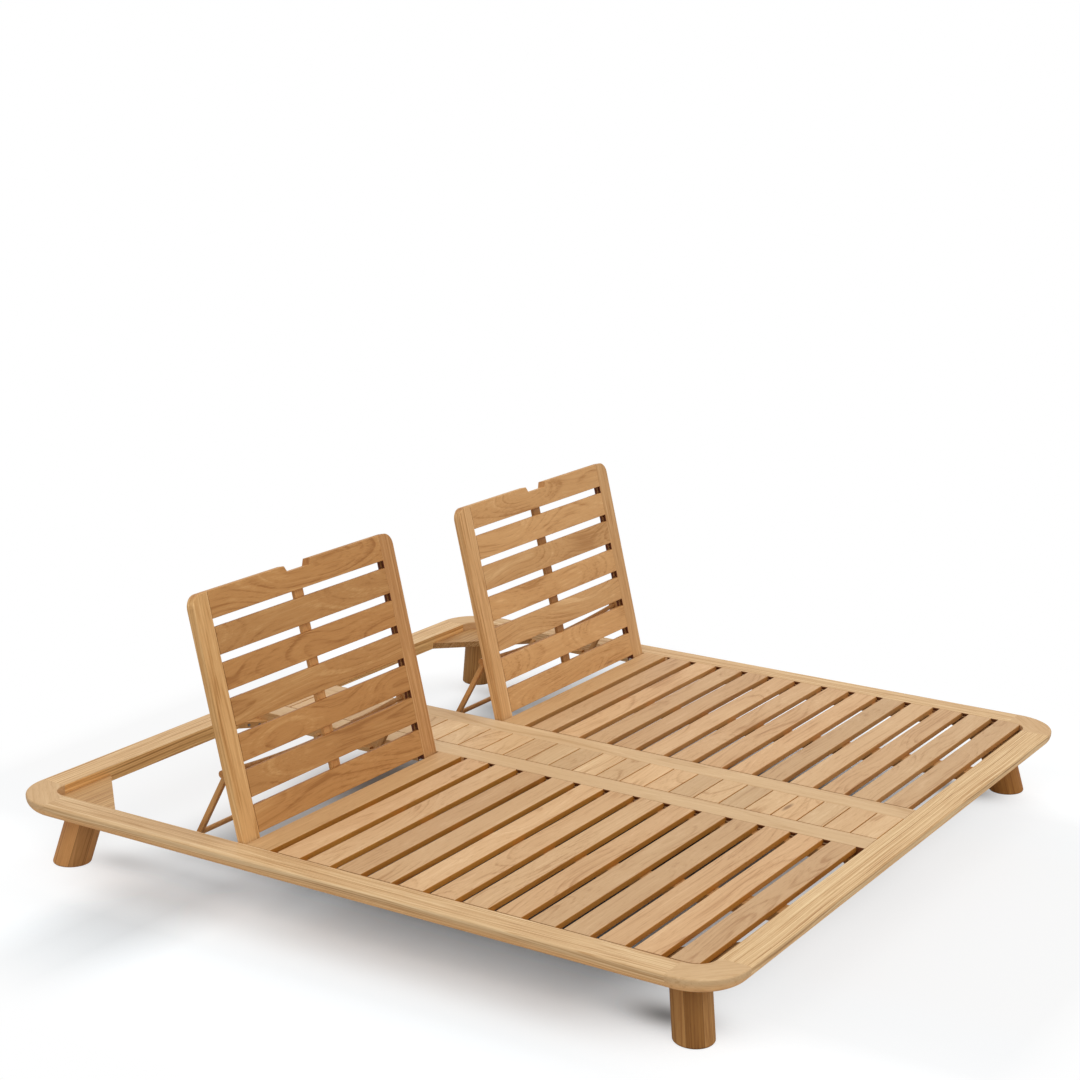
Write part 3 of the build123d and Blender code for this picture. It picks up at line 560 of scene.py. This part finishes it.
def dressSide(side, settings):
    sign, seed, places = settings["sign"], settings["seed"], woodPlaces

    def wood(node, name, look, grain, across, origin, *boards, **tones):
        dress(node + "_" + side, teak(name + "_" + side, look, grain, across,
                                      seed + seedSteps[node], origin, *boards, **tones))

    # the platform
    wood("side_rail", "sideRailTeak", "rail", alongY, (-sign, 0, 0),
         (sign * places["sideRail"], 0, places["railHeight"]),
         under=paintedBounceTone, pocketEnd=places["pocketEnd"])
    wood("strip_rail", "stripRailTeak", "plain", alongY, (sign, 0, 0),
         (sign * places["stripRail"], 0, places["plainHeight"]),
         pocketEnd=places["pocketEnd"], **sharedTones["strip_rail"])
    wood("cross_rail", "crossRailTeak", "plain", alongX, alongY,
         (sign * places["seat"], places["crossRail"], places["plainHeight"]),
         flank=settings["gapFlankShade"], **sharedTones["cross_rail"])
    wood("seat_slats", "seatSlatTeak", "slat", alongX, alongY, (0, 0, places["slatHeight"]),
         boardPlaces["seatSlats"], flank=settings["gapFlankShade"])
    hiddenWood = teak("hiddenTeak_" + side, "back", alongY, alongX, seed + seedSteps["hidden"],
                      (sign * places["seat"], 0, places["bearerHeight"]))
    for node in ("seat_bearer", "seat_ledge_outer", "seat_ledge_inner", "rack_outer", "rack_inner"):
        dress(node + "_" + side, hiddenWood)

    # the back
    wood("back_slats", "backSlatTeak", "back", alongX, backUp, hinge,
         boardPlaces["backSlats"], tint=settings["backLightAndShade"], **sharedTones["back_slats"])
    wood("back_top_rail", "topRailTeak", "back", alongX, backUp,
         Vector(hinge) + places["topRail"] * Vector(backUp), tint=settings["backLightAndShade"])
    for (place, offset), way in zip(places["stiles"].items(), (-sign, sign)):
        wood("stile_" + place, "stileTeak_" + place, "stile", backUp, (way, 0, 0),
             (sign * offset, hinge[1], hinge[2]), tint=settings["stileLightAndShade"][place],
             **sharedTones["stile"])
    wood("back_batten", "battenTeak", "back", backUp, alongX,
         (sign * places["seat"], hinge[1], hinge[2]), tint=settings["battenLightAndShade"])

    # the stay
    stayWood = teak("stayTeak_" + side, "back", alongX, alongY, seed + seedSteps["stay"],
                    places["stay"])
    armWood = teak("armTeak_" + side, "back", armAlong, alongX, seed + seedSteps["arm"],
                   places["arm"])
    for node in ("stay_dowel", "stay_bar"):
        dress(node + "_" + side, stayWood)
    for node in ("saddles", "stay_arm_outer", "stay_arm_inner"):
        dress(node + "_" + side, armWood)


for side, settings in sideSettings.items():
    dressSide(side, settings)

middleSettings = {
    # painted shade on the head rail's faces that look along Y, and on the planks' sides in the gaps
    "headTones": {"tint": (1.08, 1.10, 1.12), "flank": 0.8, "flankTone": (1.10, 0.94, 0.62)},
    "footTones": {"tint": (1.08, 1.11, 1.12), "under": paintedBounceTone},
    "plankTones": {"tint": (1.02, 1.06, 1.08), "flank": 0.9},
    "headSeed": 61, "footSeed": 62, "plankSeed": 63, "ledgeSeed": 64, "blockSeed": 65,
    "plugSeed": 66,
}


def dressMiddle(settings):
    endRail, railHeight = woodPlaces["endRail"], woodPlaces["railHeight"]
    onSlats, onBlocks = (0, 0, woodPlaces["slatHeight"]), (0, 0, woodPlaces["blockHeight"])
    dress("head_rail", teak("headRailTeak", "rail", alongX, (0, -1, 0), settings["headSeed"],
                            (0, endRail, railHeight), **settings["headTones"]))
    dress("foot_rail", teak("footRailTeak", "rail", alongX, alongY, settings["footSeed"],
                            (0, -endRail, railHeight), **settings["footTones"]))
    dress("strip_planks", teak("plankTeak", "slat", alongX, alongY, settings["plankSeed"],
                               onSlats, boardPlaces["planks"], **settings["plankTones"]))
    dress("strip_ledges", teak("ledgeTeak", "back", alongY, alongX, settings["ledgeSeed"],
                               onBlocks, boardPlaces["ledges"]))
    dress("strip_blocks", teak("blockTeak", "back", alongX, alongY, settings["blockSeed"],
                               onBlocks, boardPlaces["blocks"]))
    dress("gusset_plugs", teak("plugTeak", "back", alongX, alongY, settings["plugSeed"],
                               onBlocks, boardPlaces["blocks"]))


dressMiddle(middleSettings)

# the gussets' tints are painted shade under the rails, and the legs' tints painted light and shade,
# by corner
cornerSettings = {
    "head_left": {
        "way": (-1, 1), "seed": 30, "legTurn": -35, "gussetShade": (0.86, 0.78, 0.66),
        "legLightAndShade": (1.38, 1.36, 1.30),
    },
    "head_right": {"way": (1, 1), "seed": 33, "legTurn": 70},
    "foot_left": {"way": (-1, -1), "seed": 36, "legTurn": -58, "legMiddle": (0.68, 0.60, 0.42)},
    "foot_right": {"way": (1, -1), "seed": 39, "legTurn": 20, "legLightAndShade": (0.84, 0.70, 0.42)},
}
anyCorner = {
    "gussetShade": (0.72, 0.62, 0.48), "legLightAndShade": (1.07, 1.11, 1.00), "legMiddle": None,
    "legGlue": 0.0005,
}


def dressCorner(corner, settings):
    # legTurn is the way, in degrees round the leg, that its glued strips are stacked
    wayX, wayY = settings["way"]

    def wood(node, look, grain, across, height, *boards, **tones):
        x, y = woodPlaces[node]
        dress(node + "_" + corner, teak(node + "Teak_" + corner, look, grain, across,
                                        settings["seed"] + seedSteps[node],
                                        (wayX * x, wayY * y, height), *boards, **tones))

    wood("corner", "corner", (1, -wayX * wayY, 0), (wayX, wayY, 0), woodPlaces["railHeight"],
         under=paintedBounceTone)
    wood("gusset", "rail", alongX, alongY, woodPlaces["blockHeight"], tint=settings["gussetShade"])
    aside, upwards = woodPlaces["legLean"]
    turn = math.radians(settings["legTurn"])
    wood("leg", "leg", (-wayX * aside, -wayY * aside, upwards),
         (math.cos(turn), math.sin(turn), 0), 0, boardPlaces["legs"], tint=settings["legLightAndShade"],
         middleTone=settings["legMiddle"], glueLine=settings["legGlue"])


for corner, settings in cornerSettings.items():
    dressCorner(corner, {**anyCorner, **settings})

boltSteel = steel("boltSteel", boltSteelSettings)
screwSteel = steel("screwSteel", screwSteelSettings)
dress("leg_bolts", boltSteel)
print("wood and steel on the CAD nodes")


# Turned fasteners, each modelled once lying along Z with its open end up, and copied into place

turningSettings = {
    "levelWithin": 1e-6,
    "endNormal": 0.9,  # the least part on Z of an end face's normal
    "smoothAngle": 30.0,
    "recessSides": 6,
    "tipSegments": 2,
}


def editChosen(mesh, kind, chosen):
    # leaves the piece in edit mode with the chosen edges or polygons selected
    bpy.context.tool_settings.mesh_select_mode = (False, kind == "edges", kind == "polygons")
    for group in (mesh.vertices, mesh.edges, mesh.polygons):
        group.foreach_set("select", [False] * len(group))
    for part in getattr(mesh, kind):
        part.select = chosen(part)
    bpy.ops.object.mode_set(mode="EDIT")


def roundEdge(piece, height, offset, segments):
    mesh = piece.data
    editChosen(mesh, "edges", lambda edge: all(
        abs(mesh.vertices[index].co.z - height) < turningSettings["levelWithin"]
        for index in edge.vertices))
    bpy.ops.mesh.bevel(offset=offset, segments=segments, affect="EDGES")
    bpy.ops.object.mode_set(mode="OBJECT")


def pushEnd(piece, way, border, distance):
    # insets the end that looks up or down, and pushes its middle down
    editChosen(piece.data, "polygons",
               lambda polygon: way * polygon.normal.z > turningSettings["endNormal"])
    bpy.ops.mesh.inset(thickness=border)
    bpy.ops.mesh.extrude_region_move(TRANSFORM_OT_translate={"value": (0, 0, -distance)})
    bpy.ops.object.mode_set(mode="OBJECT")


def addRound(name, radius, bottom, top, sides):
    bpy.ops.object.select_all(action="DESELECT")
    bpy.ops.mesh.primitive_cylinder_add(vertices=sides, radius=radius, depth=top - bottom,
                                        location=(0, 0, (top + bottom) / 2))
    bpy.ops.object.transform_apply(location=True, rotation=True, scale=True)
    made = bpy.context.object
    made.name = name
    return made


def cutRecess(piece, settings, top):
    # a six-sided hole for a key in the open end
    depth = settings["recessDepth"]
    cutter = addRound("cutter", settings["recessRadius"], top - depth, top + depth,
                      turningSettings["recessSides"])
    bpy.ops.object.select_all(action="DESELECT")
    piece.select_set(True)
    bpy.context.view_layer.objects.active = piece
    cut = piece.modifiers.new("recess", "BOOLEAN")
    cut.operation = "DIFFERENCE"
    cut.solver = "EXACT"
    cut.object = cutter
    bpy.ops.object.modifier_apply(modifier=cut.name)
    bpy.data.objects.remove(cutter)
    bpy.ops.object.shade_smooth_by_angle(angle=math.radians(turningSettings["smoothAngle"]))


def modelHingeBolt(settings):
    # a flat round head with a rounded rim, on a shank that runs into the rail
    bolt = addRound("hingeBolt", settings["headRadius"], 0.0, settings["headHeight"],
                    settings["sides"])
    pushEnd(bolt, -1, settings["headRadius"] - settings["shankRadius"], settings["shankLength"])
    roundEdge(bolt, settings["headHeight"], settings["rimRound"], settings["rimSegments"])
    roundEdge(bolt, -settings["shankLength"], settings["tipRound"], turningSettings["tipSegments"])
    cutRecess(bolt, settings, settings["headHeight"])
    return bolt


def modelScrew(name, settings):
    # a screw whose end sits a little below the face that it is driven into
    screw = addRound(name, settings["radius"], -settings["length"], 0.0, settings["sides"])
    pushEnd(screw, 1, settings["lip"], settings["sunk"])
    roundEdge(screw, -settings["length"], settings["tipRound"], turningSettings["tipSegments"])
    cutRecess(screw, settings, -settings["sunk"])
    return screw


def placeCopies(model, places, node, material):
    # each place is a point on the open end's face and the way that it looks
    model.data.materials.clear()
    model.data.materials.append(material)
    for index, (point, outwards) in enumerate(places):
        copy = bpy.data.objects.new(model.name + "_" + str(index + 1), model.data.copy())
        turn = Vector((0, 0, 1)).rotation_difference(Vector(outwards)).to_matrix().to_4x4()
        copy.data.transform(Matrix.Translation(point) @ turn)
        bpy.context.scene.collection.objects.link(copy)
        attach(copy, "frame")
        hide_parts(node)
    bpy.data.objects.remove(model)


hingeBoltSettings = {
    "sides": 48, "headRadius": 0.0065, "headHeight": 0.0040, "shankRadius": 0.0040,
    "shankLength": 0.0933, "rimRound": 0.0018, "rimSegments": 5, "tipRound": 0.0008,
    "recessRadius": 0.0029, "recessDepth": 0.0022,
    "seats": (0.8667, 0.2083),  # the heads' undersides on X, outer and inner
}
hingeBoltPlaces = []
for sign in (-1, 1):
    for seat, way in zip(hingeBoltSettings["seats"], (-sign, sign)):
        hingeBoltPlaces.append(((sign * seat, hinge[1], hinge[2]), (way, 0, 0)))
placeCopies(modelHingeBolt(hingeBoltSettings), hingeBoltPlaces, "hinge_bolts", boltSteel)

blockScrewSettings = {
    "sides": 32, "radius": 0.0040, "length": 0.0030, "lip": 0.0004, "sunk": 0.0012,
    "tipRound": 0.0003, "recessRadius": 0.0018, "recessDepth": 0.0010,
    "ends": ((0.1902, 0.8802), (0.1698, 0.8598)),  # on the diagonal faces, on X and Y
    "height": 0.15135,
}
blockScrewPlaces = []
for sign in (-1, 1):
    for endSign in (-1, 1):
        for x, y in blockScrewSettings["ends"]:
            end = (sign * x, endSign * y, blockScrewSettings["height"])
            blockScrewPlaces.append((end, (sign, -endSign, 0)))
placeCopies(modelScrew("blockScrew", blockScrewSettings), blockScrewPlaces, "frame_screws",
            screwSteel)

rackScrewSettings = {
    "sides": 32, "radius": 0.0020, "length": 0.0340, "lip": 0.0002, "sunk": 0.0006,
    "tipRound": 0.0010, "recessRadius": 0.0010, "recessDepth": 0.0010,
    "ends": ((0.46797, 0.14871), (0.53601, 0.14916), (0.63805, 0.14714)),  # on Y and Z
    "faces": (0.911, 0.164),  # the racks' faces on X, outer and inner
}
rackScrewPlaces = []
for sign in (-1, 1):
    for face, way in zip(rackScrewSettings["faces"], (-sign, sign)):
        for y, z in rackScrewSettings["ends"]:
            rackScrewPlaces.append(((sign * face, y, z), (way, 0, 0)))
placeCopies(modelScrew("rackScrew", rackScrewSettings), rackScrewPlaces, "frame_screws", screwSteel)
print("bolts and screws placed")


# Floor and light

# A list of pairs gives places in metres, each with the tone or share there. The floor's shade and
# light near the lounger are painted on its colour for the camera.
stageSettings = {
    "floorSize": 60.0,
    "sunStrength": 1.15,
    "sunAngle": 90.0,  # degrees across, wide for a soft shadow
    "sunTurn": (24.0, -16.0),  # tilt about X and Y
    "fill": 0.66,  # the even light of the studio
    "bounce": 0.50,  # the floor's own colour, as it lights the wood
    "shown": 1.08,  # the floor's own colour for the camera, before its shade's tone
    "paintedCoolLight": (0.0, 0.040, 0.066),  # a painted cool glow that evens out the wood's warm bounce on the floor
    "liftReach": ((0.40, 0.0), (0.60, 1.0)),  # from the middle to the sides, on X
    "reach": (1.0, 0.975),  # the lounger's own half width and length
    "outside": ((0.10, 0.0), (0.62, 1.0)),  # painted white away from the lounger, by metres from it
    "footward": ((0.50, 0.0), (0.90, 0.76)),  # painted lighter towards the foot end
    "headward": ((0.62, 0.0), (0.86, 0.80)),  # and the head end
    "sideTone": ((0.60, 0.46), (0.72, 0.50), (0.82, 0.68), (0.90, 0.80), (1.0, 0.70), (1.10, 0.61),
                 (1.30, 0.64)),  # the tone of painted shade and light, from the middle to the sides, on X
    "toneScale": 1.6,
    "wideReach": 2.0,  # metres that the curves over more than a metre span
    "inSeat": ((0.56, 1.0), (0.74, 0.0)),  # the seats' shade, on X
    "seatAlong": ((0.10, 1.0), (0.30, 0.62), (0.58, 0.44), (0.75, 0.0)),  # and on Y
    "footEdge": 0.90,  # where light reaches in under the seats from the foot end
    "footLight": ((0.20, 0.0), (0.55, 1.0)),  # from that edge
    "underSeatTone": 0.10,
    "farShade": ((0.62, 1.0), (0.70, 0.48), (0.85, 0.58), (1.0, 0.84), (1.35, 1.0)),  # on X
    "besideBack": ((0.30, 0.0), (0.48, 1.0), (0.66, 1.0), (0.85, 0.0)),  # on Y, by the right back
    "headShade": ((0.30, 1.0), (0.46, 0.74), (0.58, 0.76), (0.74, 1.0)),  # on Y
    "besideHead": ((0.74, 0.0), (0.82, 1.0)),  # and on X, outside the head end's rails
    "contactShift": (0.069, 0.097),  # the painted shadow patch beside each foot, towards the middle
    "contactSize": (0.062, 0.105),
    "contactDepth": 0.80,
    "headContact": 0.50,  # how much of it the head legs have
}


def curve(tree, metres, stops, span=1.0):
    # straight lines through the stops, over a span of metres
    if span != 1.0:
        metres = calc(tree, "MULTIPLY", metres, 1.0 / span)
    return ramp(tree, metres, tuple((place / span, value) for place, value in stops), smooth=False)


def shadeBy(tree, tone, share, amount):
    # the tone multiplied by amount where share is 1, and unchanged where it is 0
    change = amount - 1.0 if isinstance(amount, float) else calc(tree, "SUBTRACT", amount, 1.0)
    return calc(tree, "MULTIPLY", tone, calc(tree, "MULTIPLY_ADD", share, change, 1.0))


def addContactShadow(tree, spot, farX, farY, settings):
    # the painted contact shadow on the floor beside each foot
    (legX, legY), (shiftX, shiftY) = woodPlaces["leg"], settings["contactShift"]
    sizeX, sizeY = settings["contactSize"]
    offX = calc(tree, "DIVIDE", calc(tree, "SUBTRACT", farX, legX - shiftX), sizeX)
    offY = calc(tree, "DIVIDE", calc(tree, "SUBTRACT", farY, legY - shiftY), sizeY)
    away = calc(tree, "MULTIPLY_ADD", offX, offX, calc(tree, "MULTIPLY", offY, offY))
    patch = calc(tree, "EXPONENT", calc(tree, "MULTIPLY", -1.0, away))
    depth = settings["contactDepth"]
    atHead = calc(tree, "GREATER_THAN", spot[1], 0.0)
    depthHere = calc(tree, "MULTIPLY_ADD", atHead, depth * (settings["headContact"] - 1.0), depth)
    return calc(tree, "MULTIPLY", patch, depthHere)


def addShade(tree, spot, farX, clear, settings):
    # the painted shadow's tone: soft at the sides, dark under the seats and beside each foot
    wide = settings["wideReach"]
    tone = calc(tree, "MULTIPLY", curve(tree, farX, settings["sideTone"], wide),
                settings["toneScale"])
    inSeat = calc(tree, "MULTIPLY", ramp(tree, farX, settings["inSeat"]),
                  curve(tree, spot[1], settings["seatAlong"]))
    fromFoot = ramp(tree, calc(tree, "ADD", spot[1], settings["footEdge"]), settings["footLight"])
    tone = shadeBy(tree, tone, calc(tree, "MULTIPLY", inSeat, fromFoot), settings["underSeatTone"])
    farShade = curve(tree, spot[0], settings["farShade"], wide)
    tone = shadeBy(tree, tone, ramp(tree, spot[1], settings["besideBack"]), farShade)
    headShade = curve(tree, spot[1], settings["headShade"])
    tone = shadeBy(tree, tone, ramp(tree, farX, settings["besideHead"]), headShade)
    return calc(tree, "MULTIPLY", tone, clear)


def addWhite(tree, spot, farX, farY, clear, settings):
    # how far the floor is painted plain white: away from the lounger, and painted paler under its
    # ends
    reachX, reachY = settings["reach"]
    outX = calc(tree, "MAXIMUM", calc(tree, "SUBTRACT", farX, reachX), 0.0)
    outY = calc(tree, "MAXIMUM", calc(tree, "SUBTRACT", farY, reachY), 0.0)
    away = calc(tree, "MULTIPLY_ADD", outX, outX, calc(tree, "MULTIPLY", outY, outY))
    outside = ramp(tree, calc(tree, "SQRT", away), settings["outside"])
    footward = ramp(tree, calc(tree, "MULTIPLY", spot[1], -1.0), settings["footward"])
    headward = ramp(tree, spot[1], settings["headward"])
    whiten = calc(tree, "MAXIMUM", outside, calc(tree, "MAXIMUM", footward, headward))
    return calc(tree, "MULTIPLY", whiten, clear)


def addFloor(settings):
    bpy.ops.object.select_all(action="DESELECT")
    bpy.ops.mesh.primitive_plane_add(size=settings["floorSize"], location=(0, 0, 0))
    floor = bpy.context.object
    floor.name = "floor"
    material, tree = emptyMaterial("whiteFloor")
    place = addNode(tree, "ShaderNodeTexCoord").outputs["Object"]
    spot = addNode(tree, "ShaderNodeSeparateXYZ", {0: place}).outputs
    farX, farY = calc(tree, "ABSOLUTE", spot[0]), calc(tree, "ABSOLUTE", spot[1])
    contactShadow = addContactShadow(tree, spot, farX, farY, settings)
    clear = calc(tree, "SUBTRACT", 1.0, contactShadow)

    # painted shadow on the floor's colour for the camera
    tone = addShade(tree, spot, farX, clear, settings)
    shade = calc(tree, "MULTIPLY", tone, settings["shown"])
    grey = addNode(tree, "ShaderNodeCombineXYZ", {0: shade, 1: shade, 2: shade}).outputs[0]
    seen = addNode(tree, "ShaderNodeBsdfDiffuse", {"Color": grey})
    # a painted cool glow, an emission, where the floor is lit at the sides
    liftHere = calc(tree, "MULTIPLY", ramp(tree, farX, settings["liftReach"]), clear)
    liftHere = calc(tree, "MULTIPLY", liftHere, calc(tree, "MINIMUM", tone, 1.0))
    lift = addNode(tree, "ShaderNodeEmission", {
        "Color": (*settings["paintedCoolLight"], 1), "Strength": liftHere})
    shaded = addNode(tree, "ShaderNodeAddShader", {0: seen.outputs[0], 1: lift.outputs[0]})

    whiten = addWhite(tree, spot, farX, farY, clear, settings)
    white = addNode(tree, "ShaderNodeEmission", {"Color": (1, 1, 1, 1), "Strength": 1.0})
    bright = addNode(tree, "ShaderNodeMixShader", {
        0: whiten, 1: shaded.outputs[0], 2: white.outputs[0]})
    bounce = settings["bounce"]
    lit = addNode(tree, "ShaderNodeBsdfDiffuse", {"Color": (bounce, bounce, bounce, 1.0)})
    path = addNode(tree, "ShaderNodeLightPath").outputs
    pick = addNode(tree, "ShaderNodeMixShader", {
        0: path["Is Camera Ray"], 1: lit.outputs[0], 2: bright.outputs[0]})
    addNode(tree, "ShaderNodeOutputMaterial", {"Surface": pick.outputs[0]})
    floor.data.materials.append(material)


def addLight(settings):
    sun = bpy.data.objects.new("overheadLight", bpy.data.lights.new("overheadLight", "SUN"))
    sun.data.energy = settings["sunStrength"]
    sun.data.angle = math.radians(settings["sunAngle"])
    turnX, turnY = settings["sunTurn"]
    sun.rotation_euler = (math.radians(turnX), math.radians(turnY), 0)
    bpy.context.scene.collection.objects.link(sun)
    world = bpy.data.worlds.new("studio")
    bpy.context.scene.world = world
    world.use_nodes = True
    tree = world.node_tree
    tree.nodes.clear()

    # white for the camera and in reflections, and a softer fill elsewhere
    path = addNode(tree, "ShaderNodeLightPath").outputs
    mirrored = calc(tree, "MAXIMUM", path["Is Glossy Ray"], path["Is Transmission Ray"])
    shown = calc(tree, "MAXIMUM", path["Is Camera Ray"], mirrored)
    strength = calc(tree, "MULTIPLY_ADD", shown, 1.0 - settings["fill"], settings["fill"])
    glow = addNode(tree, "ShaderNodeBackground", {"Color": (1, 1, 1, 1), "Strength": strength})
    addNode(tree, "ShaderNodeOutputWorld", {"Surface": glow.outputs[0]})


addFloor(stageSettings)
addLight(stageSettings)
bpy.context.scene.view_settings.view_transform = "Standard"
print("floor and light ready")
